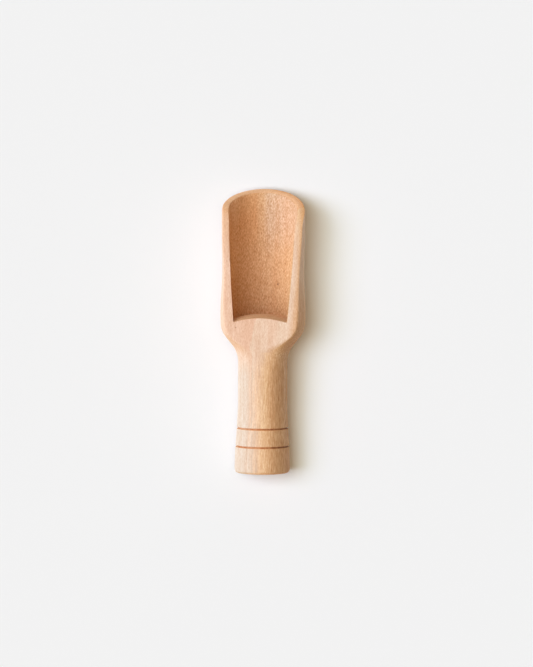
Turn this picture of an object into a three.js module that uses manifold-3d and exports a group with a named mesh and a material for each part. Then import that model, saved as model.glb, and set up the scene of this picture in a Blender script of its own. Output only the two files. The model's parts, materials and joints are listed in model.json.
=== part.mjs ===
// Canister scoop in one piece of beech: turned on a lathe, bored from the front,
// cut flat along the top of the bowl and raked at the lip. Two rings are burnt in near the butt.
// Millimetres, +Z up. The scoop lies along Y, bowl towards +Y and opening upwards,
// the way it comes to rest on a table: on the butt's edge and on the shoulder of the bowl.
import * as THREE from "three";
import { mergeVertices } from "three/addons/utils/BufferGeometryUtils.js";
import Module from "manifold-3d";

const wasm = await Module();
wasm.setup();
const degree = Math.PI / 180;

// Lengths along the scoop's own axis, from the butt face
const overallLength = 80; // to the lip, at the bottom of the bowl
const handleLength = 31.5; // to the foot of the neck fillet

// Handle
const neckDiameter = 14;
const buttDiameter = 15.7;
const flareLength = 21; // the stretch that swells from the neck to the butt
const buttRound = 1;

// Burnt rings, V grooves round the handle
const ringCount = 2;
const ringSetback = 7.65; // butt face to the first ring
const ringSpacing = 5.2;
const ringWidth = 0.6;
const ringDepth = 0.4;

// Shoulder between neck and bowl
const shoulderSlope = 38 * degree;
const neckFillet = 8;
const shoulderRound = 6;

// Bowl
const bowlDiameter = 23.6;
const bowlWall = 2.15;
const floorSetback = 0.8; // from the shoulder's full width to the corner of the floor
const floorCrown = 1.9; // height of the floor's dome

// Opening and lip
const openingHeight = 6.1; // above the axis, over the corner of the floor
const openingSlope = 7 * degree; // the opening falls towards the lip
const lipRake = 24 * degree; // off square, the bottom of the lip leads
const lipSkew = 4.8 * degree; // ground by eye, the lip leads a little on its left
const lipCorner = 5.5; // round where the rim turns into the lip

// Facets
const facetsRound = 64;
const flareSteps = 8;
const arcSteps = 4;
const crownSteps = 4;
const clear = 2; // how far a cutter stands proud of what it cuts

// Sizes that follow
const neckRadius = neckDiameter / 2;
const buttRadius = buttDiameter / 2;
const bowlRadius = bowlDiameter / 2;
const boreRadius = bowlRadius - bowlWall;
const halfTurn = Math.tan(shoulderSlope / 2);
const coneFoot = handleLength + neckFillet * halfTurn;
const coneHead = coneFoot + (bowlRadius - neckRadius) / Math.tan(shoulderSlope);
const bowlStart = coneHead + shoulderRound * halfTurn;
const floorPlace = bowlStart + floorSetback;
const blankLength = overallLength + bowlRadius;

function handleRadius(along) {
  return THREE.MathUtils.lerp(buttRadius, neckRadius, THREE.MathUtils.smoothstep(along, buttRound, flareLength));
}

// A closed geometry as a solid that can be joined and cut
function solidFrom(geometry) {
  geometry.deleteAttribute("normal");
  geometry.deleteAttribute("uv");
  const welded = mergeVertices(geometry, 1e-5);
  const corners = welded.index.array;
  const triangles = [];
  for (let i = 0; i < corners.length; i += 3) {
    const [a, b, c] = corners.subarray(i, i + 3);
    if (a !== b && b !== c && c !== a) triangles.push(a, b, c);
  }
  const vertProperties = new Float32Array(welded.attributes.position.array);
  const triVerts = new Uint32Array(triangles);
  return new wasm.Manifold(new wasm.Mesh({ numProp: 3, vertProperties, triVerts }));
}

function geometryFrom(solid) {
  const mesh = solid.getMesh();
  const geometry = new THREE.BufferGeometry();
  geometry.setAttribute("position", new THREE.BufferAttribute(mesh.vertProperties, 3));
  geometry.setIndex(new THREE.BufferAttribute(mesh.triVerts, 1));
  geometry.computeVertexNormals();
  return geometry;
}

// A profile of radius and place along the axis, turned about Y with a facet lying flat underneath
function turned(points) {
  return solidFrom(new THREE.LatheGeometry(points, facetsRound, Math.PI / facetsRound));
}

// The blank as it leaves the lathe, left long at the bowl's end
function blank() {
  const profile = new THREE.Path();
  profile.moveTo(0, 0);
  profile.lineTo(buttRadius - buttRound, 0);
  profile.absarc(buttRadius - buttRound, buttRound, buttRound, -Math.PI / 2, 0);
  for (let step = 1; step <= flareSteps; step++) {
    const along = THREE.MathUtils.lerp(buttRound, flareLength, step / flareSteps);
    profile.lineTo(handleRadius(along), along);
  }
  const fromFillet = Math.PI;
  profile.absarc(neckRadius + neckFillet, handleLength, neckFillet, fromFillet, fromFillet - shoulderSlope, true);
  profile.absarc(bowlRadius - shoulderRound, bowlStart, shoulderRound, -shoulderSlope, 0);
  profile.lineTo(bowlRadius, blankLength);
  profile.lineTo(0, blankLength);
  return turned(profile.getPoints(arcSteps));
}

// One V groove, as the ring of wood that comes out
function ringGroove(along) {
  const radius = handleRadius(along);
  const reach = (ringWidth / 2) * ((ringDepth + clear) / ringDepth);
  const tip = new THREE.Vector2(radius - ringDepth, along);
  const front = new THREE.Vector2(radius + clear, along + reach);
  const back = new THREE.Vector2(radius + clear, along - reach);
  return turned([tip, back, front, tip]);
}

// The bore, flat sided with a floor that crowns towards the opening
function bore() {
  const crownRadius = (boreRadius ** 2 + floorCrown ** 2) / (2 * floorCrown);
  const crownCentre = floorPlace + floorCrown - crownRadius;
  const crownEdge = Math.acos(boreRadius / crownRadius);
  const profile = new THREE.Path();
  profile.moveTo(0, floorPlace + floorCrown);
  profile.absarc(0, crownCentre, crownRadius, Math.PI / 2, crownEdge, true);
  profile.lineTo(boreRadius, blankLength + clear);
  profile.lineTo(0, blankLength + clear);
  return turned(profile.getPoints(crownSteps));
}

// What is cut away above the opening and in front of the lip: a side outline drawn across the scoop
function openingCut() {
  const alongRim = new THREE.Vector2(Math.cos(openingSlope), -Math.sin(openingSlope));
  const alongLip = new THREE.Vector2(Math.sin(lipRake), -Math.cos(lipRake));
  const aboveFloor = new THREE.Vector2(floorPlace, openingHeight);
  const lipFoot = new THREE.Vector2(overallLength, -bowlRadius);

  // The two lines meet at the corner, and the round touches both
  const fromFloor = lipFoot.clone().sub(aboveFloor);
  const corner = aboveFloor.clone().addScaledVector(alongRim, fromFloor.cross(alongLip) / alongRim.cross(alongLip));
  const turn = alongRim.angleTo(alongLip);
  const tangent = corner.clone().addScaledVector(alongRim, -lipCorner * Math.tan(turn / 2));
  const rimUp = Math.PI / 2 - openingSlope;
  const centre = tangent.clone().sub(new THREE.Vector2(Math.cos(rimUp), Math.sin(rimUp)).multiplyScalar(lipCorner));

  const behind = aboveFloor.clone().addScaledVector(alongRim, -floorPlace);
  const below = lipFoot.clone().addScaledVector(alongLip, bowlRadius);
  const top = behind.y + bowlDiameter;
  const front = blankLength + bowlDiameter;
  const outline = new THREE.Shape();
  outline.moveTo(behind.x, behind.y);
  outline.lineTo(tangent.x, tangent.y);
  outline.absarc(centre.x, centre.y, lipCorner, rimUp, lipRake, true);
  outline.lineTo(below.x, below.y);
  outline.lineTo(front, below.y);
  outline.lineTo(front, top);
  outline.lineTo(behind.x, top);

  // The stroke across follows the opening's own plane, so its slant skews the lip alone
  const width = 2 * bowlDiameter;
  const geometry = new THREE.ExtrudeGeometry(outline, {
    depth: width,
    bevelEnabled: false,
    curveSegments: arcSteps,
  });
  geometry.translate(0, 0, -width / 2);
  const slant = -Math.tan(lipSkew);
  const across = new THREE.Vector3(1, slant * alongRim.x, slant * alongRim.y);
  const along = new THREE.Vector3(0, 1, 0);
  const up = new THREE.Vector3(0, 0, 1);
  geometry.applyMatrix4(new THREE.Matrix4().makeBasis(along, up, across));
  return solidFrom(geometry);
}

// Lean of the axis at rest, from the line that touches the butt's edge round and the shoulder's round from below
function restLean() {
  const run = bowlStart - buttRound;
  const drop = bowlRadius - shoulderRound - (buttRadius - buttRound);
  return Math.acos((buttRound - shoulderRound) / Math.hypot(run, drop)) - Math.atan2(run, drop);
}

function scoopSolid() {
  let solid = blank();
  for (let ring = 0; ring < ringCount; ring++) {
    solid = solid.subtract(ringGroove(ringSetback + ring * ringSpacing));
  }
  return solid.subtract(bore()).subtract(openingCut());
}

const beech = new THREE.MeshStandardMaterial({ color: 0xe3b893, roughness: 0.62, metalness: 0 });
const scoop = new THREE.Mesh(geometryFrom(scoopSolid()), beech);
scoop.name = "scoop";
scoop.rotation.x = restLean();

// The origin is the middle of the footprint, on the table
const extent = new THREE.Box3().setFromObject(scoop, true);
const middle = extent.getCenter(new THREE.Vector3());
scoop.position.set(-middle.x, -middle.y, -extent.min.z);

const canisterScoop = new THREE.Group();
canisterScoop.add(scoop);
export default canisterScoop;
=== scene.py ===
# A small canister scoop turned from one piece of beech, lying on a pale floor and seen from above.
import json
import math

import bmesh
import bpy
import numpy as np
from mathutils import Matrix, Vector, noise


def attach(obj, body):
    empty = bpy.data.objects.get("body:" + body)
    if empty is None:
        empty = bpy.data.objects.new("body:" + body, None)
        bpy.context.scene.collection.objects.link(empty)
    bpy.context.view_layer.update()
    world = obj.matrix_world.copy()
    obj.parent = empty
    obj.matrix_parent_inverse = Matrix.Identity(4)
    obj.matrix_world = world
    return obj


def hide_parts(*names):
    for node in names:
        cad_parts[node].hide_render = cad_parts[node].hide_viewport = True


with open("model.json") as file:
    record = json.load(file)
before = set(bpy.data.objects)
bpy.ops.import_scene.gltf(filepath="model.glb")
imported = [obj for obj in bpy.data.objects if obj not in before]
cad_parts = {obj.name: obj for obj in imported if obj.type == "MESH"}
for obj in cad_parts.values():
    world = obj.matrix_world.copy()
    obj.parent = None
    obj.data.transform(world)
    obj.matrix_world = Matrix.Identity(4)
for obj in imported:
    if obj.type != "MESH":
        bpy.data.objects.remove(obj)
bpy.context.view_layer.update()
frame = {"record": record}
scene = bpy.context.scene
scene.view_settings.view_transform = "Standard"
mm = 0.001


# the scoop lies as the frame has it: its butt face gives the place and the lean of its axis
buttMount = next(mount for mount in frame["record"]["mounts"] if mount["name"] == "butt_face")
buttCentre = Vector(buttMount["pos_m"])
restLean = math.atan2(-buttMount["axis"][2], -buttMount["axis"][1])
print("frame loaded, axis leans", round(math.degrees(restLean), 2), "degrees")


# Camera: a long lens almost straight above, leaning to the scoop's right

cameraSetup = {
    "imageSize": (533, 667),
    "pixelsPerMm": 3.52,
    "buttPixel": (262.2, 472.4),  # where the middle of the butt face shows
    "tilt": math.radians(5.0),  # towards the lip, off square to the scoop's axis
    "roll": math.radians(6.0),  # round to the scoop's right
    "spin": math.radians(-0.3),  # within the picture
    "distance": 3.0,
    "farthest": 20.0,
    "sensor": 36.0,
}


def scoopDirection(x, along, up):
    # a direction in the scoop's own axes, turned into the frame's
    cos, sin = math.cos(restLean), math.sin(restLean)
    return Vector((x, along * cos - up * sin, along * sin + up * cos))


def makeCamera():
    setup = cameraSetup
    tiltCos, tiltSin = math.cos(setup["tilt"]), math.sin(setup["tilt"])
    rollCos, rollSin = math.cos(setup["roll"]), math.sin(setup["roll"])
    spinCos, spinSin = math.cos(setup["spin"]), math.sin(setup["spin"])
    right = scoopDirection(rollCos, 0, -rollSin)
    upward = scoopDirection(-rollSin * tiltSin, tiltCos, -rollCos * tiltSin)
    towards = scoopDirection(rollSin * tiltCos, tiltSin, rollCos * tiltCos)
    pictureX = right * spinCos - upward * spinSin
    pictureY = right * spinSin + upward * spinCos
    metresPerPixel = mm / setup["pixelsPerMm"]
    wide, high = setup["imageSize"]
    offX = (wide / 2 - setup["buttPixel"][0]) * metresPerPixel
    offY = (setup["buttPixel"][1] - high / 2) * metresPerPixel
    aim = buttCentre + pictureX * offX + pictureY * offY
    data = bpy.data.cameras.new("overheadCamera")
    data.sensor_width = setup["sensor"]  # covers the long side of the picture
    data.lens = setup["sensor"] * setup["distance"] / (high * metresPerPixel)
    data.clip_end = setup["farthest"]
    camera = bpy.data.objects.new("overheadCamera", data)
    scene.collection.objects.link(camera)
    turn = Matrix((pictureX, pictureY, towards)).transposed()
    camera.matrix_world = Matrix.Translation(aim + towards * setup["distance"]) @ turn.to_4x4()
    scene.camera = camera
    print("camera set, lens", round(data.lens, 1), "mm")


makeCamera()


# Light: a broad soft window on the left, a warm room, and the pale floor

lightSetup = {
    "roomLight": (0.205, 0.135, 0.04),  # what the room gives the open floor; its window gives the rest
    "floorLevel": 0.89,
    "floorSize": 6.0,
}
windowLight = tuple(1 - part for part in lightSetup["roomLight"])
# each window's directions, to the scoop's right, towards the lip and up: a tall window is a row of lamps
lampSetup = {
    "scoopWindow": {
        "from": [(-0.68, 0.1, 1.14)],
        "tints": [(1.0, 1.0, 1.0)],
        "spread": math.radians(70),
        "colour": windowLight,
        "lights": "scoop",
    },
    "floorWindow": {
        "from": [(across, 0.0, 1.0) for across in (0.05, -0.2, -0.4, -0.62)],
        # warm from overhead, cool from low down
        "tints": [(1.15, 1.05, 0.86), (1.05, 1.1, 0.99), (1.0, 1.1, 1.05), (0.8, 0.75, 1.1)],
        "spread": math.radians(32),
        "colour": windowLight,
        "lights": "floor",
    },
}
litObjects = {name: bpy.data.collections.new(name + "Lit") for name in ("scoop", "floor")}


def makeLamp(name):
    setup = lampSetup[name]
    for direction, tint in zip(setup["from"], setup["tints"]):
        source = Vector(direction).normalized()
        data = bpy.data.lights.new(name, "SUN")
        data.energy = math.pi / source.z / len(setup["from"])
        data.color = [part * share for part, share in zip(setup["colour"], tint)]
        data.angle = setup["spread"]
        lamp = bpy.data.objects.new(name, data)
        lamp.rotation_mode = "QUATERNION"
        lamp.rotation_quaternion = source.to_track_quat("Z", "Y")
        lamp.light_linking.receiver_collection = litObjects[setup["lights"]]
        scene.collection.objects.link(lamp)


def makeRoom():
    # rays from the camera and gloss see a pale backdrop, and everything else sees the warm room
    setup = lightSetup
    world = bpy.data.worlds.new("room")
    world.use_nodes = True
    scene.world = world
    nodes, links = world.node_tree.nodes, world.node_tree.links
    path = nodes.new("ShaderNodeLightPath")
    seen = nodes.new("ShaderNodeMath")
    seen.operation = "MAXIMUM"
    links.new(path.outputs["Is Camera Ray"], seen.inputs[0])
    links.new(path.outputs["Is Glossy Ray"], seen.inputs[1])
    mix = nodes.new("ShaderNodeMix")
    mix.data_type = "RGBA"
    mix.inputs[6].default_value = (*setup["roomLight"], 1)
    mix.inputs[7].default_value = (*[setup["floorLevel"]] * 3, 1)
    links.new(seen.outputs[0], mix.inputs[0])
    links.new(mix.outputs[2], nodes["Background"].inputs["Color"])


def makeFloor():
    half = lightSetup["floorSize"] / 2
    mesh = bpy.data.meshes.new("floor")
    corners = [(-half, -half, 0), (half, -half, 0), (half, half, 0), (-half, half, 0)]
    mesh.from_pydata(corners, [], [(0, 1, 2, 3)])
    floor = bpy.data.objects.new("floor", mesh)
    scene.collection.objects.link(floor)
    material = bpy.data.materials.new("paleFloor")
    material.use_nodes = True
    shader = material.node_tree.nodes["Principled BSDF"]
    shader.inputs["Base Color"].default_value = (*[lightSetup["floorLevel"]] * 3, 1)
    shader.inputs["Roughness"].default_value = 1.0
    shader.inputs["Specular IOR Level"].default_value = 0.0
    mesh.materials.append(material)
    litObjects["floor"].objects.link(floor)


for lampName in lampSetup:
    makeLamp(lampName)
makeRoom()
makeFloor()
print("light and floor set")


# Scoop: sizes in millimetres, along its own axis from the butt face

shape = {
    "length": 80.0,
    "handle": 31.5,
    "neckR": 7.0,
    "buttR": 7.85,
    "flare": 21.0,
    "buttRound": 1.0,
    "rings": (7.65, 12.85),
    "ringWidth": 0.6,
    "ringDepth": 0.4,
    "ringPower": 1.5,  # 1 gives a round groove, more a narrower one
    "shoulderSlope": math.radians(38),
    "neckFillet": 8.0,
    "shoulderRound": 6.0,
    "bowlR": 11.8,
    # where the turner's hand strayed, each with its place, reach and height
    "swells": ((45.5, 6.0, 0.27), (58.0, 6.5, -0.2)),
    "boreDrift": 0.25,  # how far the bore strays to the left of the axis
    "wall": 2.15,
    "floorSetback": 0.8,
    "floorCrown": 1.9,
    "openingHeight": 6.1,
    "openingSlope": math.radians(7),
    "lipRake": math.radians(24),
    "lipSkew": math.radians(1.9),
    "lipBulge": 0.15,  # how far the lip bows out between its foot and its corners
    "lipTwist": 0.06,  # how much more its left side leads at the corners
    "lipCorner": 3.0,  # how far rim and lip melt into each other
    "rimSanding": 0.42,  # how far sanding has rounded the edges
    "boreSanding": 0.2,
    "lipSanding": 1.0,  # inside the lip, less and less towards its left corner
    "shoulderSanding": 0.5,
    "tongueSanding": 1.6,  # at the thin end of the cut, where it runs out on the neck
    "floorSanding": 0.35,
    # over which stretches one sanding turns into the next
    "shoulderBlend": 3.0,  # on both sides of the bowl's floor
    "tongueBlend": 4.0,
    "lipBlend": (-8.0, -0.5),  # forward from the lip
    "lipCornerBlend": (-9.0, -2.0),  # across
    "handMarks": 0.03,  # how far the hand-sanded surface wanders
    "handMarkScale": (0.16, 0.09, 0.16),  # and how finely
}
meshing = {
    "arcColumns": 88,
    "rimColumns": 10,
    "bowlRows": 72,
    "floorRows": 28,
    "capRings": 9,
    "buttSteps": 6,
    "buttGap": 0.6,
    "handleStep": 0.75,
    "handleGap": 1.0,  # where the handle's even steps end, before the neck fillet
    "shoulderStep": 0.42,
    "floorSteps": (0.8, 0.55, 0.36, 0.22, 0.1, 0.0),  # closer and closer behind the floor
    "ringSteps": (0.3, 0.6, 0.9, 1.12, 1.7),  # in half widths of a groove, to both sides
    "ringClear": 2.2,
    "edgePull": 0.85,  # how strongly rows and columns gather at the edges
    "rimPull": 0.6,
    "flatLimit": math.radians(158),  # past this the cut is so narrow that its edge has faded
    "freeTurn": math.radians(118),  # where the seam on the round handle comes to lie
    "freeReach": 14.0,  # and how far behind the cut it gets there
    "bowReach": 4.0,  # how far back rows bend with the floor's upper edge
    "rimRounds": 60,
    "edgeRounds": 30,
    "sandingRounds": 5,
    "weldDigits": 4,  # decimals to which points that meet agree
}

# places that follow from the sizes
halfTurn = math.tan(shape["shoulderSlope"] / 2)
coneFoot = shape["handle"] + shape["neckFillet"] * halfTurn
coneHead = coneFoot + (shape["bowlR"] - shape["neckR"]) / math.tan(shape["shoulderSlope"])
bowlStart = coneHead + shape["shoulderRound"] * halfTurn
floorPlace = bowlStart + shape["floorSetback"]
boreR = shape["bowlR"] - shape["wall"]
crownR = (boreR ** 2 + shape["floorCrown"] ** 2) / (2 * shape["floorCrown"])
crownCentre = floorPlace + shape["floorCrown"] - crownR
openingFall = math.tan(shape["openingSlope"])
rakeRun = math.tan(shape["lipRake"])
skewAlong = math.tan(shape["lipSkew"]) * math.cos(shape["openingSlope"])
skewUp = math.tan(shape["lipSkew"]) * math.sin(shape["openingSlope"])
lipRun = shape["length"] - floorPlace - shape["bowlR"] * rakeRun
lipCornerUp = (shape["openingHeight"] - openingFall * lipRun) / (1 - openingFall * rakeRun)
lipScale = 1 / math.hypot(1, rakeRun, skewAlong - skewUp * rakeRun)


def smoothStep(value, start, end):
    t = np.clip((value - start) / (end - start), 0, 1)
    return t * t * (3 - 2 * t)


def ringCut(along):
    # depth of the two burnt grooves
    cut = np.zeros_like(along)
    for place in shape["rings"]:
        t = np.clip(np.abs(along - place) / (shape["ringWidth"] / 2), 0, 1)
        cut += shape["ringDepth"] * np.cos(t * math.pi / 2) ** shape["ringPower"]
    return cut


def outerRadius(along):
    along = np.asarray(along, float)
    edge = shape["buttRound"]
    buttEdge = shape["buttR"] - edge + np.sqrt(np.maximum(edge ** 2 - np.maximum(edge - along, 0) ** 2, 0))
    handle = buttEdge + (shape["neckR"] - shape["buttR"]) * smoothStep(along, edge, shape["flare"])
    fillet, slope = shape["neckFillet"], shape["shoulderSlope"]
    intoFillet = np.clip(along - shape["handle"], 0, fillet * math.sin(slope))
    neck = handle + fillet - np.sqrt(fillet ** 2 - intoFillet ** 2)
    cone = shape["neckR"] + (along - coneFoot) * math.tan(slope)
    rounding = shape["shoulderRound"]
    fromBowl = np.clip(bowlStart - along, 0, rounding * math.sin(slope))
    bowl = shape["bowlR"] - rounding + np.sqrt(rounding ** 2 - fromBowl ** 2)
    filletEnd = shape["handle"] + fillet * math.sin(slope)
    roundStart = bowlStart - rounding * math.sin(slope)
    radius = np.where(along < filletEnd, neck, np.where(along < roundStart, cone, bowl))
    for place, reach, height in shape["swells"]:
        radius = radius + height * np.exp(-(((along - place) / reach) ** 2))
    return radius - ringCut(along)


def openingAt(along):
    return shape["openingHeight"] - openingFall * (along - floorPlace)


def crownAt(x, up):
    reach = np.minimum(x ** 2 + up ** 2, boreR ** 2)
    return crownCentre + np.sqrt(crownR ** 2 - reach)


def lipAt(x, up):
    # the lip is raked and bows out a little, and it is skewed so that its left side leads
    rise = up - skewUp * x + shape["bowlR"]
    share = rise / (lipCornerUp + shape["bowlR"])
    bow = 4 * shape["lipBulge"] * share * (1 - share)
    lead = skewAlong + shape["lipTwist"] * share ** 2
    return shape["length"] - rise * rakeRun + bow - lead * x


def eased(steps, pull):
    # even steps from 0 to 1, gathered towards both ends
    t = np.linspace(0, 1, steps + 1)
    return t - pull * np.sin(2 * math.pi * t) / (2 * math.pi)


def rimEdge(radius, side, share):
    # where a wall of this radius meets the opening, for each row from the floor (0) to the lip (1)
    up = np.full_like(share, shape["openingHeight"])
    for _ in range(meshing["rimRounds"]):
        x = side * np.sqrt(radius ** 2 - up ** 2)
        along = (1 - share) * floorPlace + share * lipAt(x, up)
        up = openingAt(along)
    return np.stack((x, along, up), -1)


def wallRows(radius, share):
    # a round wall of the bowl from its left rim, under, to its right rim
    right, left = rimEdge(radius, 1, share), rimEdge(radius, -1, share)
    turnRight = np.arctan2(right[:, 0], -right[:, 2])
    turnLeft = np.arctan2(left[:, 0], -left[:, 2])
    column = eased(meshing["arcColumns"], meshing["edgePull"])
    turn = turnLeft[:, None] + (turnRight - turnLeft)[:, None] * column
    x, up = radius * np.sin(turn), -radius * np.cos(turn)
    along = (1 - share)[:, None] * floorPlace + share[:, None] * lipAt(x, up)
    rows = np.stack((x, along, up), -1)
    rows[:, 0], rows[:, -1] = left, right
    return rows


def between(first, last, steps):
    # straight rows from one line of points to another
    t = eased(steps, meshing["rimPull"])[:, None, None]
    return first[None] * (1 - t) + last[None] * t


def stationList():
    # where the rows round the handle and the shoulder lie, from the butt to the bowl's floor
    edge = shape["buttRound"] * (1 - np.cos(np.linspace(0, math.pi / 2, meshing["buttSteps"] + 1)))
    handleEnd = shape["handle"] - meshing["handleGap"]
    plain = np.arange(edge[-1] + meshing["buttGap"], handleEnd, meshing["handleStep"])
    nearFloor = floorPlace - np.array(meshing["floorSteps"])
    steps = round((nearFloor[0] - plain[-1]) / meshing["shoulderStep"])
    shoulder = np.linspace(plain[-1], nearFloor[0], steps + 1)[1:-1]
    half = shape["ringWidth"] / 2
    aside = np.array(meshing["ringSteps"])
    grooves = []
    for place in shape["rings"]:
        plain = plain[np.abs(plain - place) > meshing["ringClear"] * half]
        grooves.extend(place + half * np.concatenate((-aside[::-1], (0,), aside)))
    return np.sort(np.concatenate((edge, plain, grooves, shoulder, nearFloor)))


def softMax(a, b, reach):
    return np.maximum(a, b) + np.maximum(reach - np.abs(a - b), 0) ** 2 / (4 * reach)


def solidLevel(points):
    # how far a point near the surface lies outside the sanded solid
    x, along, up = points[..., 0], points[..., 1], points[..., 2]
    fromAxis = np.hypot(x, up)
    nudge = 0.01
    steepness = (outerRadius(along + nudge) - outerRadius(along - nudge)) / (2 * nudge)
    outside = np.maximum((fromAxis - outerRadius(along)) / np.hypot(1, steepness), -along)
    aboveOpening = (up - openingAt(along)) * math.cos(shape["openingSlope"])
    pastLip = (along - lipAt(x, up)) * lipScale
    cut = softMax(aboveOpening, pastLip, shape["lipCorner"])
    onBowl = smoothStep(along, floorPlace - shape["shoulderBlend"], floorPlace + shape["shoulderBlend"])
    onTongue = smoothStep(along, coneFoot + shape["tongueBlend"], coneFoot)
    sanding = shape["shoulderSanding"] + (shape["rimSanding"] - shape["shoulderSanding"]) * onBowl
    sanding = sanding + (shape["tongueSanding"] - shape["shoulderSanding"]) * onTongue
    body = softMax(outside, cut, sanding)
    fromBore = np.hypot(x + shape["boreDrift"], up)
    behindFloor = crownR - np.hypot(fromBore, along - crownCentre)
    hollow = softMax(fromBore - boreR, behindFloor, shape["floorSanding"])
    onLip = smoothStep(pastLip, *shape["lipBlend"]) * smoothStep(x, *shape["lipCornerBlend"])
    innerSanding = shape["boreSanding"] + (shape["lipSanding"] - shape["boreSanding"]) * onLip
    return softMax(body, -hollow, innerSanding)


def sanded(points):
    # slides points onto the sanded solid, square to its surface
    nudge, leastSteepness = 0.004, 0.05
    for _ in range(meshing["sandingRounds"]):
        level = solidLevel(points)
        rises = [solidLevel(points + step) - solidLevel(points - step) for step in np.eye(3) * nudge]
        slope = np.stack(rises, -1) / (2 * nudge)
        steepness = np.maximum((slope ** 2).sum(-1), leastSteepness)
        points = points - slope * (level / steepness)[..., None]
    return points


def handleRows(stations):
    # the round outside and the top of everything behind the bowl's floor
    radius = outerRadius(stations)
    height = openingAt(stations)
    cutTurn = np.where(height < radius, np.arccos(np.clip(-height / radius, -1, 1)), math.pi)
    isFlat = cutTurn < meshing["flatLimit"]
    flatStart = stations[isFlat][0]
    relax = smoothStep(flatStart - stations, 0, meshing["freeReach"])
    freeTurn = meshing["flatLimit"] + (meshing["freeTurn"] - meshing["flatLimit"]) * relax
    seam = np.where(isFlat, cutTurn, freeTurn)
    column = 2 * eased(meshing["arcColumns"], meshing["edgePull"]) - 1
    turn = seam[:, None] * column
    grid = stations[:, None] + 0 * turn
    outside = np.stack((radius[:, None] * np.sin(turn), grid, -radius[:, None] * np.cos(turn)), -1)

    # across the top from right to left: rim, floor's width, rim
    boreHalf = math.sqrt(boreR ** 2 - shape["openingHeight"] ** 2)
    outerHalf = math.sqrt(shape["bowlR"] ** 2 - shape["openingHeight"] ** 2)
    inner = boreHalf / outerHalf
    rimShare = 1 + (inner - 1) * eased(meshing["rimColumns"], meshing["rimPull"])
    share = np.concatenate((rimShare[:-1], -column * inner, -rimShare[::-1][1:]))
    topTurn = (math.pi - seam)[:, None] * share
    roundX = radius[:, None] * np.sin(topTurn)
    roundUp = np.minimum(radius[:, None] * np.cos(topTurn), height[:, None])
    flatX = (radius * np.sin(seam))[:, None] * share

    # the cut face's front edge bows forward over the crowned floor
    edgeX = share * outerHalf
    edgeAlong = np.full_like(edgeX, floorPlace)
    for _ in range(meshing["edgeRounds"]):
        edgeAlong = crownAt(edgeX, openingAt(edgeAlong))
    bow = np.where(np.abs(share) < inner, edgeAlong - floorPlace, 0)
    gather = np.clip((stations - floorPlace + meshing["bowReach"]) / meshing["bowReach"], 0, 1) ** 2
    flatAlong = stations[:, None] + gather[:, None] * bow
    x = np.where(isFlat[:, None], flatX, roundX)
    along = np.where(isFlat[:, None], flatAlong, stations[:, None])
    up = np.where(isFlat[:, None], openingAt(flatAlong), roundUp)
    top = np.stack((x, along, up), -1)
    outside[:, -1], outside[:, 0] = top[:, 0], top[:, -1]
    return outside, top, isFlat


def facesOut(mesh):
    work = bmesh.new()
    work.from_mesh(mesh)
    bmesh.ops.recalc_face_normals(work, faces=work.faces)
    work.to_mesh(mesh)
    work.free()


class Patchwork:
    # gathers patches of quads that share their borders
    def __init__(self):
        self.points, self.faces, self.finish = [], [], []
        self.count = 0

    def addGrid(self, rows, finish):
        high, wide = rows.shape[:2]
        index = self.count + np.arange(high * wide).reshape(high, wide)
        lower, upper = index[:-1], index[1:]
        quads = np.stack((lower[:, :-1], lower[:, 1:], upper[:, 1:], upper[:, :-1]), -1)
        self.points.append(rows.reshape(-1, 3))
        self.faces.append(quads.reshape(-1, 4))
        self.finish.append(np.broadcast_to(finish, (high - 1, wide - 1)).reshape(-1))
        self.count += high * wide

    def toMesh(self, name):
        points = np.concatenate(self.points)
        keys = np.round(points, meshing["weldDigits"])
        _, first, where = np.unique(keys, axis=0, return_index=True, return_inverse=True)
        where = where.reshape(-1)
        vertices = sanded(points[first])
        faces, finish = [], []
        for quad, slot in zip(where[np.concatenate(self.faces)], np.concatenate(self.finish)):
            corners = list(dict.fromkeys(quad.tolist()))
            if len(corners) > 2:
                faces.append(corners)
                finish.append(int(slot))
        mesh = bpy.data.meshes.new(name)
        mesh.from_pydata(vertices.tolist(), [], faces)
        mesh.polygons.foreach_set("material_index", finish)
        facesOut(mesh)
        return mesh


turnedSide, sawnFace, boredWall, endGrain = range(4)


def scoopMesh():
    work = Patchwork()
    stations = stationList()
    outside, top, isFlat = handleRows(stations)
    flatRows = isFlat[1:] & isFlat[:-1]
    work.addGrid(outside, turnedSide)
    topFinish = np.where(flatRows[:, None], sawnFace, turnedSide)
    work.addGrid(top, np.broadcast_to(topFinish, (len(stations) - 1, top.shape[1] - 1)))

    # the bowl: two round walls, the rims between them and the lip across their ends
    share = eased(meshing["bowlRows"], meshing["edgePull"])
    outer, inner = wallRows(shape["bowlR"], share), wallRows(boreR, share)
    work.addGrid(outer, turnedSide)
    work.addGrid(inner, boredWall)
    rims = meshing["rimColumns"]
    work.addGrid(between(outer[:, 0], inner[:, 0], rims), sawnFace)
    work.addGrid(between(outer[:, -1], inner[:, -1], rims), sawnFace)
    work.addGrid(between(outer[-1], inner[-1], rims), sawnFace)

    # the crowned floor, from the cut face's front edge down to the foot of the bored wall
    upperEdge = top[-1, rims:-rims][::-1]
    floor = between(upperEdge, inner[0], meshing["floorRows"])
    floor[1:-1, :, 1] = crownAt(floor[1:-1, :, 0], floor[1:-1, :, 2])
    work.addGrid(floor, endGrain)

    # the flat butt
    loop = np.concatenate((outside[0, :-1], top[0]))
    rings = np.linspace(1, 0, meshing["capRings"] + 1)
    cap = np.stack([loop * np.array((size, 1, size)) for size in rings])
    work.addGrid(cap, endGrain)
    return work.toMesh("scoop_wood")


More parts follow.
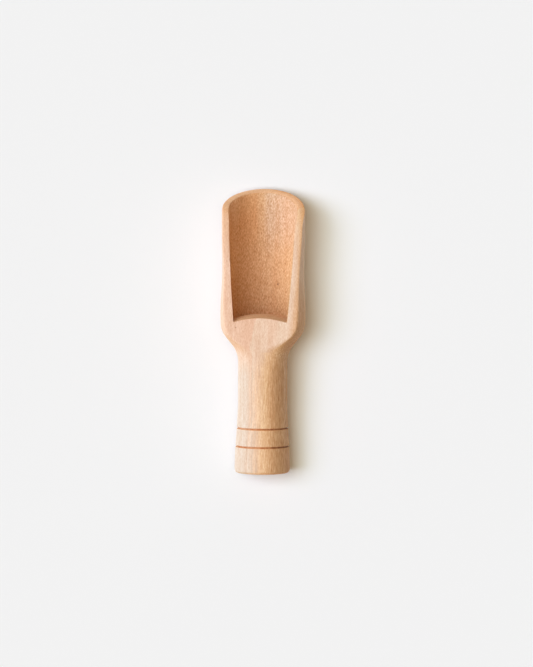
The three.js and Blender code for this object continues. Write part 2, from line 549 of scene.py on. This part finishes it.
def wander(mesh):
    # the small unevenness that hand sanding leaves, along each point's own normal
    for vertex, normal in zip(mesh.vertices, [item.vector.copy() for item in mesh.vertex_normals]):
        place = Vector([part * scale for part, scale in zip(vertex.co, shape["handMarkScale"])])
        vertex.co += normal * (noise.noise(place) * shape["handMarks"])


def intoFrame(mesh):
    cos, sin = math.cos(restLean), math.sin(restLean)
    lean = Matrix(((1, 0, 0), (0, cos, -sin), (0, sin, cos))).to_4x4()
    mesh.transform(Matrix.Translation(buttCentre) @ lean @ Matrix.Scale(mm, 4))


def makeScoop():
    mesh = scoopMesh()
    piece = bpy.data.objects.new("scoop_wood", mesh)
    scene.collection.objects.link(piece)
    litObjects["scoop"].objects.link(piece)
    mesh.shade_smooth()
    wander(mesh)
    intoFrame(mesh)
    print("scoop made,", len(mesh.polygons), "faces")
    return piece


scoop = makeScoop()


# Small helpers for shader nodes


def screen(red, green, blue):
    # a colour as a screen shows it, on the renderer's own scale
    return (*[((part / 255 + 0.055) / 1.055) ** 2.4 for part in (red, green, blue)], 1)


def addNode(tree, kind, inputs=None, **settings):
    node = tree.nodes.new("ShaderNode" + kind)
    for name, value in settings.items():
        setattr(node, name, value)
    for name, value in (inputs or {}).items():
        if isinstance(value, bpy.types.NodeSocket):
            tree.links.new(value, node.inputs[name])
        else:
            node.inputs[name].default_value = value
    return node


def maths(tree, operation, first, second=0.0):
    return addNode(tree, "Math", {0: first, 1: second}, operation=operation).outputs[0]


def aroundOne(tree, swing, depth):
    # a factor that is 1 where the swing is 0
    return addNode(tree, "Math", {0: swing, 1: depth, 2: 1.0}, operation="MULTIPLY_ADD").outputs[0]


def vectors(tree, operation, first, second):
    return addNode(tree, "VectorMath", {0: first, 1: second}, operation=operation).outputs[0]


def measured(tree, operation, first, second=(0, 0, 0)):
    # a single number from one or two vectors
    return addNode(tree, "VectorMath", {0: first, 1: second}, operation=operation).outputs["Value"]


def spun(tree, place, angle):
    # places turned about the upward axis
    return addNode(tree, "Mapping", {"Vector": place, "Rotation": (0, 0, angle)}).outputs[0]


def ease(tree, value, low, high, start=0.0, end=1.0):
    sockets = {"Value": value, "From Min": low, "From Max": high, "To Min": start, "To Max": end}
    return addNode(tree, "MapRange", sockets, interpolation_type="SMOOTHSTEP").outputs["Result"]


def blend(tree, share, first, second, mode="MIX"):
    sockets = {0: share, 6: first, 7: second}
    return addNode(tree, "Mix", sockets, data_type="RGBA", blend_type=mode).outputs[2]


def tinted(tree, colour, tone, share):
    return blend(tree, share, colour, blend(tree, 1.0, colour, tone, "MULTIPLY"))


noiseMiddle = 0.5  # the value that noise swings about


def cloud(tree, place, scale, detail=2.0, roughness=0.5):
    # noise with its own fineness along each axis, in features for each millimetre
    stretched = vectors(tree, "MULTIPLY", place, scale)
    sockets = {"Vector": stretched, "Scale": 1.0, "Detail": detail, "Roughness": roughness}
    return addNode(tree, "TexNoise", sockets).outputs["Fac"]


def newGroup(name, inputs, outputs):
    tree = bpy.data.node_groups.new(name, "ShaderNodeTree")
    for socket, kind in inputs.items():
        tree.interface.new_socket(socket, in_out="INPUT", socket_type="NodeSocket" + kind)
    for socket, kind in outputs.items():
        tree.interface.new_socket(socket, in_out="OUTPUT", socket_type="NodeSocket" + kind)
    return tree, tree.nodes.new("NodeGroupInput").outputs, tree.nodes.new("NodeGroupOutput").inputs


def useGroup(tree, group, inputs=None):
    return addNode(tree, "Group", inputs, node_tree=group).outputs


# Beech: places in the scoop's own millimetres, across, along its axis and up

beech = {
    "pale": screen(238, 209, 183),
    "late": screen(231, 190, 156),
    "pink": screen(238, 194, 164),
    "speck": screen(168, 110, 72),
    "pith": (-28.0, 0.0, -44.0),
    "ringWidth": 3.43,
    "ringStart": 56.17,  # one ring's border, from the pith: inside it the wood is pinker
    "ringSwing": (2.4, 3.97),  # how the rings' strength goes up and down from year to year
    "ringLeast": 0.35,  # the strength of the faintest
    "lateStart": (0.15, 0.97),  # the late wood comes in over this share of a ring
    "latePower": 1.6,
    "lateEnd": (1.0, 0.93),  # and ends over this one
    "heartEdge": (0.07, -0.07),  # in rings, to both sides of the pinker wood's border
    "grainTilt": math.radians(0.9),
    "waviness": 1.6,
    "fraying": 1.1,  # how far the rings' borders wander
    "zoneRange": (0.44, 0.62),  # the noise between which a pink zone fades in
    "zoneDepth": 0.3,
    "fibreShare": 0.55,  # fine fibres against long streaks
    "fibreCrispness": 0.6,
    "warmth": (0.6, 1.1, 1.6),  # the powers by which a shade takes away red, green and blue
    "endGrain": (0.25, 0.9),  # how squarely fibres are cut where end grain starts and is full
    "specular": 0.35,
    "diffuseRoughness": 0.4,
    "fibreRange": (0.25, 0.75),  # the noise of the fibres that the roughness follows
    # how fine each kind of figure is, in features for each millimetre across, along and up
    "waveScale": (0.06, 0.012, 0.06),
    "frayScale": (1.6, 0.05, 1.6),
    "zoneScale": (0.13, 0.014, 0.13),
    "streakScale": (1.1, 0.03, 1.1),
    "fibreScale": (3.6, 0.22, 3.6),
    "rayScale": (4.4, 1.5, 4.4),
}


def scoopPlaceGroup():
    # where a point lies along the scoop, how far from its axis, and how squarely it cuts the fibres
    outputs = {"Place": "Vector", "From Axis": "Float", "End Grain": "Float"}
    tree, _, out = newGroup("scoopPlace", {}, outputs)
    coordinates = addNode(tree, "TexCoord").outputs
    turnBack = Matrix.Rotation(-restLean, 3, "X")
    place = addNode(tree, "Mapping", {
        "Vector": coordinates["Object"],
        "Location": turnBack @ buttCentre / -mm,
        "Rotation": (-restLean, 0, 0),
        "Scale": (1 / mm,) * 3,
    }).outputs[0]
    tree.links.new(place, out["Place"])
    fromAxis = measured(tree, "LENGTH", vectors(tree, "MULTIPLY", place, (1, 0, 1)))
    tree.links.new(fromAxis, out["From Axis"])
    facing = measured(tree, "DOT_PRODUCT", coordinates["Normal"], tuple(scoopDirection(0, 1, 0)))
    square = maths(tree, "ABSOLUTE", facing)
    tree.links.new(ease(tree, square, *beech["endGrain"]), out["End Grain"])
    return tree


def shaded(tree, colour, shade):
    # darker grain is also warmer
    warm = {channel: maths(tree, "POWER", shade, power) for channel, power in enumerate(beech["warmth"])}
    return blend(tree, 1.0, colour, addNode(tree, "CombineColor", warm).outputs[0], "MULTIPLY")


def beechFigureGroup():
    # annual rings, pink zones, long fibres and the short ray marks that beech is known by
    depths = ("Ring Depth", "Heart Depth", "Streak Depth", "Ray Depth")
    inputs = {"Place": "Vector", "End Grain": "Float", "End Tone": "Color"}
    inputs.update(dict.fromkeys(depths, "Float"))
    tree, given, out = newGroup("beechFigure", inputs, {"Color": "Color", "Fibre": "Float", "Ray": "Float"})
    tilted = spun(tree, given["Place"], beech["grainTilt"])
    drift = cloud(tree, tilted, beech["waveScale"]).node.outputs["Color"]
    drift = vectors(tree, "SUBTRACT", drift, (noiseMiddle,) * 3)
    wavy = vectors(tree, "ADD", tilted, vectors(tree, "MULTIPLY", drift, (2 * beech["waviness"],) * 3))

    fromPith = vectors(tree, "MULTIPLY", vectors(tree, "SUBTRACT", wavy, beech["pith"]), (1, 0, 1))
    frayed = maths(tree, "SUBTRACT", cloud(tree, wavy, beech["frayScale"]), noiseMiddle)
    frayed = maths(tree, "MULTIPLY", frayed, beech["fraying"])
    radius = maths(tree, "ADD", measured(tree, "LENGTH", fromPith), frayed)
    count = maths(tree, "DIVIDE", maths(tree, "SUBTRACT", radius, beech["ringStart"]), beech["ringWidth"])
    year = maths(tree, "FLOOR", count)
    season = maths(tree, "FRACT", count)
    swing, swingStart = beech["ringSwing"]
    vigour = maths(tree, "SINE", maths(tree, "ADD", maths(tree, "MULTIPLY", year, swing), swingStart))
    lateWood = maths(tree, "POWER", ease(tree, season, *beech["lateStart"]), beech["latePower"])
    lateWood = maths(tree, "MULTIPLY", lateWood, ease(tree, season, *beech["lateEnd"]))
    lateWood = maths(tree, "MULTIPLY", lateWood, ease(tree, vigour, -1, 1, beech["ringLeast"], 1.0))
    lateWood = maths(tree, "MULTIPLY", lateWood, given["Ring Depth"])
    colour = blend(tree, lateWood, beech["pale"], beech["late"])

    heart = maths(tree, "MULTIPLY", ease(tree, count, *beech["heartEdge"]), given["Heart Depth"])
    zone = ease(tree, cloud(tree, wavy, beech["zoneScale"], detail=1.0), *beech["zoneRange"])
    zone = maths(tree, "MULTIPLY", zone, beech["zoneDepth"])
    colour = blend(tree, maths(tree, "MAXIMUM", heart, zone), colour, beech["pink"])

    # fibres run along the grain, rays are short dashes, and both darken the wood warmly
    streak = cloud(tree, wavy, beech["streakScale"], roughness=beech["fibreCrispness"])
    streak = maths(tree, "MULTIPLY", streak, 1 - beech["fibreShare"])
    fibre = cloud(tree, wavy, beech["fibreScale"], roughness=beech["fibreCrispness"])
    mixed = maths(tree, "ADD", streak, maths(tree, "MULTIPLY", fibre, beech["fibreShare"]))
    ray = cloud(tree, wavy, beech["rayScale"], detail=1.0)
    shade = aroundOne(tree, maths(tree, "SUBTRACT", mixed, noiseMiddle), given["Streak Depth"])
    rayShade = aroundOne(tree, maths(tree, "SUBTRACT", noiseMiddle, ray), given["Ray Depth"])
    colour = shaded(tree, colour, maths(tree, "MULTIPLY", shade, rayShade))
    colour = tinted(tree, colour, given["End Tone"], given["End Grain"])
    tree.links.new(colour, out["Color"])
    tree.links.new(mixed, out["Fibre"])
    tree.links.new(ray, out["Ray"])
    return tree


toolMarks = {
    "endLimit": 0.5,  # from this share of end grain on, turning marks run out across the end
    "lineDetail": 3.0,
    "patchScale": (0.12, 0.06, 0.12),
    "scratchScale": (9.0, 0.25, 9.0),
    "crossTurn": math.radians(38),
    "crossScale": (0.3, 8.0, 0.3),
    "crossRange": (0.6, 0.8),
    "crossDepth": 0.4,
    "knotCore": 0.35,  # the share of a pin knot's reach that is fully dark
}


def turningMarksGroup():
    # the faint rings a cutting edge leaves round a turning piece: along the sides, or out across an end
    inputs = {"Place": "Vector", "From Axis": "Float", "End Grain": "Float", "Pitch": "Float"}
    tree, given, out = newGroup("turningMarks", inputs, {"Height": "Float"})
    along = addNode(tree, "SeparateXYZ", {0: given["Place"]}).outputs["Y"]
    ends = maths(tree, "GREATER_THAN", given["End Grain"], toolMarks["endLimit"])
    travel = addNode(tree, "Mix", {0: ends, 2: along, 3: given["From Axis"]}).outputs[0]
    lines = maths(tree, "DIVIDE", travel, given["Pitch"])
    sockets = {"W": lines, "Scale": 1.0, "Detail": toolMarks["lineDetail"]}
    coarse = addNode(tree, "TexNoise", sockets, noise_dimensions="1D")
    patchy = cloud(tree, given["Place"], toolMarks["patchScale"])
    tree.links.new(maths(tree, "MULTIPLY", coarse.outputs["Fac"], patchy), out["Height"])
    return tree


def sandingMarksGroup():
    # short straight scratches along the grain, with a few that cross it
    tree, given, out = newGroup("sandingMarks", {"Place": "Vector"}, {"Height": "Float"})
    alongGrain = cloud(tree, given["Place"], toolMarks["scratchScale"], detail=1.0)
    slanted = spun(tree, given["Place"], toolMarks["crossTurn"])
    crossGrain = cloud(tree, slanted, toolMarks["crossScale"], detail=1.0)
    crossGrain = ease(tree, crossGrain, *toolMarks["crossRange"])
    crossGrain = maths(tree, "MULTIPLY", crossGrain, toolMarks["crossDepth"])
    tree.links.new(maths(tree, "SUBTRACT", alongGrain, crossGrain), out["Height"])
    return tree


def pinKnotGroup():
    # a single dark speck at a given spot
    inputs = {"Place": "Vector", "Spot": "Vector", "Size": "Float"}
    tree, given, out = newGroup("pinKnot", inputs, {"Mask": "Float"})
    reach = measured(tree, "DISTANCE", given["Place"], given["Spot"])
    share = maths(tree, "DIVIDE", reach, given["Size"])
    tree.links.new(ease(tree, share, 1.0, toolMarks["knotCore"]), out["Mask"])
    return tree


scoopPlace = scoopPlaceGroup()
beechFigure = beechFigureGroup()
turningMarks = turningMarksGroup()
sandingMarks = sandingMarksGroup()
pinKnot = pinKnotGroup()


def startWood(name, finish):
    # what the four finishes share: place, figure and tone
    material = bpy.data.materials.new(name)
    material.use_nodes = True
    tree = material.node_tree
    place = useGroup(tree, scoopPlace)
    figure = useGroup(tree, beechFigure, {
        "Place": place["Place"], "End Grain": place["End Grain"], "End Tone": finish["endTone"],
        "Ring Depth": finish["ringDepth"], "Heart Depth": finish["heartDepth"],
        "Streak Depth": finish["streakDepth"], "Ray Depth": finish["rayDepth"],
    })
    colour = blend(tree, 1.0, figure["Color"], finish["tone"], "MULTIPLY")
    return material, tree, place, figure, colour


def latheMarks(tree, place, finish, ends=0.0):
    sockets = {"Place": place["Place"], "From Axis": place["From Axis"], "End Grain": ends}
    return useGroup(tree, turningMarks, {**sockets, "Pitch": finish["markPitch"]})["Height"]


def knotMask(tree, place, finish):
    sockets = {"Place": place["Place"], "Spot": finish["knotSpot"], "Size": finish["knotSize"]}
    return useGroup(tree, pinKnot, sockets)["Mask"]


def dressShader(tree, finish, figure, colour, marks):
    # colour, roughness and the fine relief of fibres and tool marks go to the shader
    shader = tree.nodes["Principled BSDF"]
    tree.links.new(colour, shader.inputs["Base Color"])
    low, high = finish["roughness"]
    roughness = ease(tree, figure["Fibre"], *beech["fibreRange"], high, low)
    tree.links.new(roughness, shader.inputs["Roughness"])
    shader.inputs["Specular IOR Level"].default_value = beech["specular"]
    shader.inputs["Diffuse Roughness"].default_value = beech["diffuseRoughness"]
    relief = maths(tree, "MULTIPLY", figure["Fibre"], finish["fibreRelief"])
    relief = maths(tree, "ADD", relief, maths(tree, "MULTIPLY", marks, finish["markRelief"]))
    relief = maths(tree, "SUBTRACT", relief, maths(tree, "MULTIPLY", figure["Ray"], finish["rayRelief"]))
    bump = addNode(tree, "Bump", {"Height": relief, "Distance": mm})  # relief is written in millimetres
    tree.links.new(bump.outputs["Normal"], shader.inputs["Normal"])


turnedFinish = {
    "ringDepth": 0.6,
    "heartDepth": 0.3,
    "streakDepth": 0.85,
    "rayDepth": 0.45,
    "tone": screen(254, 253, 252),
    "endTone": screen(252, 230, 196),  # laid over grain that is cut across
    "roughness": (0.5, 0.66),
    "fibreRelief": 0.04,
    "rayRelief": 0.008,
    "markRelief": 0.02,
    "markPitch": 0.35,
    # painted shade across the handle's side, warmer and then darker towards the right away from the light,
    # each step with where it starts and is full, in mm across
    "paintedSideTones": (
        (screen(256, 242, 212), (-3.8, 2.4)),
        (screen(231, 219, 208), (1.5, 5.0)),
    ),
    "litSideTone": screen(242, 256, 267),  # painted light: cooler on the lit left side, up to the neck
    "leftReach": (-0.5, -4.5),
    "neckShift": 2.4,  # how much further to the right the side tones start beside the neck
    "neckReach": (27.0, 36.0),
    "sideEnd": (62.0, 38.0),  # these tones fade out along the bowl
    "raggedness": 8.0,  # how far fibres draw out the tones' borders
    "dashes": (5.2, 0.4, 5.2),  # short coarse grain, from the middle to the right, deepened there as painted shade for the relief that grazing light shows on the shaded side
    "dashDepth": 1.7,
    "dashShadeReach": (-5.0, 7.0),
    "scorch": (screen(198, 124, 76), screen(104, 58, 38)),  # the rings are burnt, and painted shade makes them darker on the right
    "scorchShadeSide": (-1.0, 9.0),
    "scorchReach": (0.34, 0.12),  # where it starts and is full, from the middle of a ring
    "scorchScale": (0.9, 0.9, 0.9),
    "scorchRange": (0.35, 0.65),
    "scorchLeast": 0.5,  # how much of it shows at its faintest
}


def turnedWood():
    finish = turnedFinish
    material, tree, place, figure, colour = startWood("turnedBeech", finish)
    across, along, _ = addNode(tree, "SeparateXYZ", {0: place["Place"]}).outputs
    ragged = maths(tree, "SUBTRACT", figure["Fibre"], noiseMiddle)
    ragged = maths(tree, "ADD", across, maths(tree, "MULTIPLY", ragged, finish["raggedness"]))
    onNeck = ease(tree, along, *finish["neckReach"])
    # painted light: the lit left side made cooler, fading out beside the neck
    litSideMask = ease(tree, ragged, *finish["leftReach"])
    litSideMask = maths(tree, "MULTIPLY", litSideMask, maths(tree, "SUBTRACT", 1.0, onNeck))
    colour = tinted(tree, colour, finish["litSideTone"], litSideMask)
    # painted shade: warmer and darker towards the right, away from the light, fading out along the bowl
    ragged = maths(tree, "SUBTRACT", ragged, maths(tree, "MULTIPLY", onNeck, finish["neckShift"]))
    onHandle = ease(tree, along, *finish["sideEnd"])
    for tone, reach in finish["paintedSideTones"]:
        colour = tinted(tree, colour, tone, maths(tree, "MULTIPLY", ease(tree, ragged, *reach), onHandle))
    # grain dashes, deepened on the shaded right side as painted shade
    coarse = maths(tree, "MULTIPLY", ease(tree, ragged, *finish["dashShadeReach"]), finish["dashDepth"])
    coarse = maths(tree, "MULTIPLY", coarse, onHandle)
    dashes = maths(tree, "SUBTRACT", noiseMiddle, cloud(tree, place["Place"], finish["dashes"]))
    colour = shaded(tree, colour, aroundOne(tree, dashes, coarse))

    # the burnt rings, with painted shade darkening them to the right
    burn = 0.0
    for ring in shape["rings"]:
        reach = maths(tree, "ABSOLUTE", maths(tree, "SUBTRACT", along, ring))
        burn = maths(tree, "ADD", ease(tree, reach, *finish["scorchReach"]), burn)
    uneven = cloud(tree, place["Place"], finish["scorchScale"])
    uneven = ease(tree, uneven, *finish["scorchRange"], finish["scorchLeast"], 1.0)
    scorch = blend(tree, ease(tree, across, *finish["scorchShadeSide"]), *finish["scorch"])
    colour = blend(tree, maths(tree, "MULTIPLY", burn, uneven), colour, scorch)
    dressShader(tree, finish, figure, colour, latheMarks(tree, place, finish))
    return material


sawnFinish = {
    "ringDepth": 0.6,
    "heartDepth": 0.65,
    "streakDepth": 0.62,
    "rayDepth": 0.5,
    "tone": screen(255, 254, 253),
    "endTone": screen(254, 245, 229),
    "roughness": (0.52, 0.68),
    "fibreRelief": 0.03,
    "rayRelief": 0.01,
    "markRelief": 0.012,
    "lipTone": screen(254, 248, 235),  # warmer wood towards the lip
    "lipReach": (60.0, 72.0),
    "paintedEdgeTone": screen(247, 232, 210),  # painted shade along the rounded outer edge on the right, where it turns from the light
    "edgeRadius": ((34.5, 7.6), (40.0, 11.5)),  # where that edge lies: place and radius, neck and bowl
    "edgeWidth": 1.5,
    "edgeShadeSide": (0.0, 4.0),
    "knotSpot": (-7.1, 41.77, 6.28),
    "knotSize": 0.34,
    "knotShade": 0.45,
}


def sawnWood():
    finish = sawnFinish
    material, tree, place, figure, colour = startWood("sawnBeech", finish)
    knot = maths(tree, "MULTIPLY", knotMask(tree, place, finish), finish["knotShade"])
    colour = blend(tree, knot, colour, beech["speck"])
    across, along, _ = addNode(tree, "SeparateXYZ", {0: place["Place"]}).outputs
    colour = tinted(tree, colour, finish["lipTone"], ease(tree, along, *finish["lipReach"]))
    # painted shade along the outer edge on the right
    (neckPlace, neckR), (bowlPlace, bowlR) = finish["edgeRadius"]
    edgeR = ease(tree, along, neckPlace, bowlPlace, neckR, bowlR)
    inset = maths(tree, "SUBTRACT", edgeR, place["From Axis"])
    shadedEdgeMask = ease(tree, inset, finish["edgeWidth"], 0.0)
    shadedEdgeMask = maths(tree, "MULTIPLY", shadedEdgeMask, ease(tree, across, *finish["edgeShadeSide"]))
    colour = tinted(tree, colour, finish["paintedEdgeTone"], shadedEdgeMask)
    marks = useGroup(tree, sandingMarks, {"Place": place["Place"]})
    dressShader(tree, finish, figure, colour, marks["Height"])
    return material


boredFinish = {
    "ringDepth": 0.7,
    "heartDepth": 0.4,
    "streakDepth": 0.5,
    "rayDepth": 1.4,
    "tone": screen(247, 231, 199),
    "endTone": screen(252, 236, 212),
    "roughness": (0.58, 0.74),
    "fibreRelief": 0.03,
    "rayRelief": 0.01,
    "markRelief": 0.02,
    "markPitch": 0.5,
    "depth": screen(244, 241, 236),  # painted shade: darker towards the floor, deep in the bowl
    "floorShadeReach": (60.0, 46.0),
    # painted light and shade from side to side towards the lip, each step with where it starts and is full
    "paintedSideTones": (
        (screen(256, 244, 232), (-1.8, -3.6)),
        (screen(250, 260, 283), (-1.6, 0.8)),
        (screen(254, 248, 246), (2.5, 5.0)),
    ),
    "sideStart": (58.0, 72.0),
    "paintedEdgeTone": screen(266, 274, 292),  # painted light, paler beside the left rim
    "edgeLightReach": (-7.2, -9.2),
    "knotSpot": (3.3, 52.95, -9.07),
    "knotSize": 0.4,
}


def boredWood():
    finish = boredFinish
    material, tree, place, figure, colour = startWood("boredBeech", finish)
    colour = blend(tree, knotMask(tree, place, finish), colour, beech["speck"])
    across, along, _ = addNode(tree, "SeparateXYZ", {0: place["Place"]}).outputs
    # painted shade deepening towards the bowl's floor
    colour = tinted(tree, colour, finish["depth"], ease(tree, along, *finish["floorShadeReach"]))
    # painted light and shade across the bowl, near the lip
    nearLip = ease(tree, along, *finish["sideStart"])
    for tone, reach in finish["paintedSideTones"]:
        colour = tinted(tree, colour, tone, maths(tree, "MULTIPLY", ease(tree, across, *reach), nearLip))
    # painted light beside the left rim
    colour = tinted(tree, colour, finish["paintedEdgeTone"], ease(tree, across, *finish["edgeLightReach"]))
    dressShader(tree, finish, figure, colour, latheMarks(tree, place, finish))
    return material


endFinish = {
    "ringDepth": 0.8,
    "heartDepth": 0.4,
    "streakDepth": 0.4,
    "rayDepth": 0.9,
    "tone": screen(231, 222, 210),
    "endTone": screen(250, 238, 220),
    "roughness": (0.6, 0.75),
    "fibreRelief": 0.04,
    "rayRelief": 0.02,
    "markRelief": 0.04,
    "markPitch": 0.45,
}


def crossCutWood():
    finish = endFinish
    material, tree, place, figure, colour = startWood("endBeech", finish)
    dressShader(tree, finish, figure, colour, latheMarks(tree, place, finish, place["End Grain"]))
    return material


for makeFinish in (turnedWood, sawnWood, boredWood, crossCutWood):  # in the order of the mesh's finishes
    scoop.data.materials.append(makeFinish())
print("beech finishes made")

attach(scoop, "root")
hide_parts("scoop")
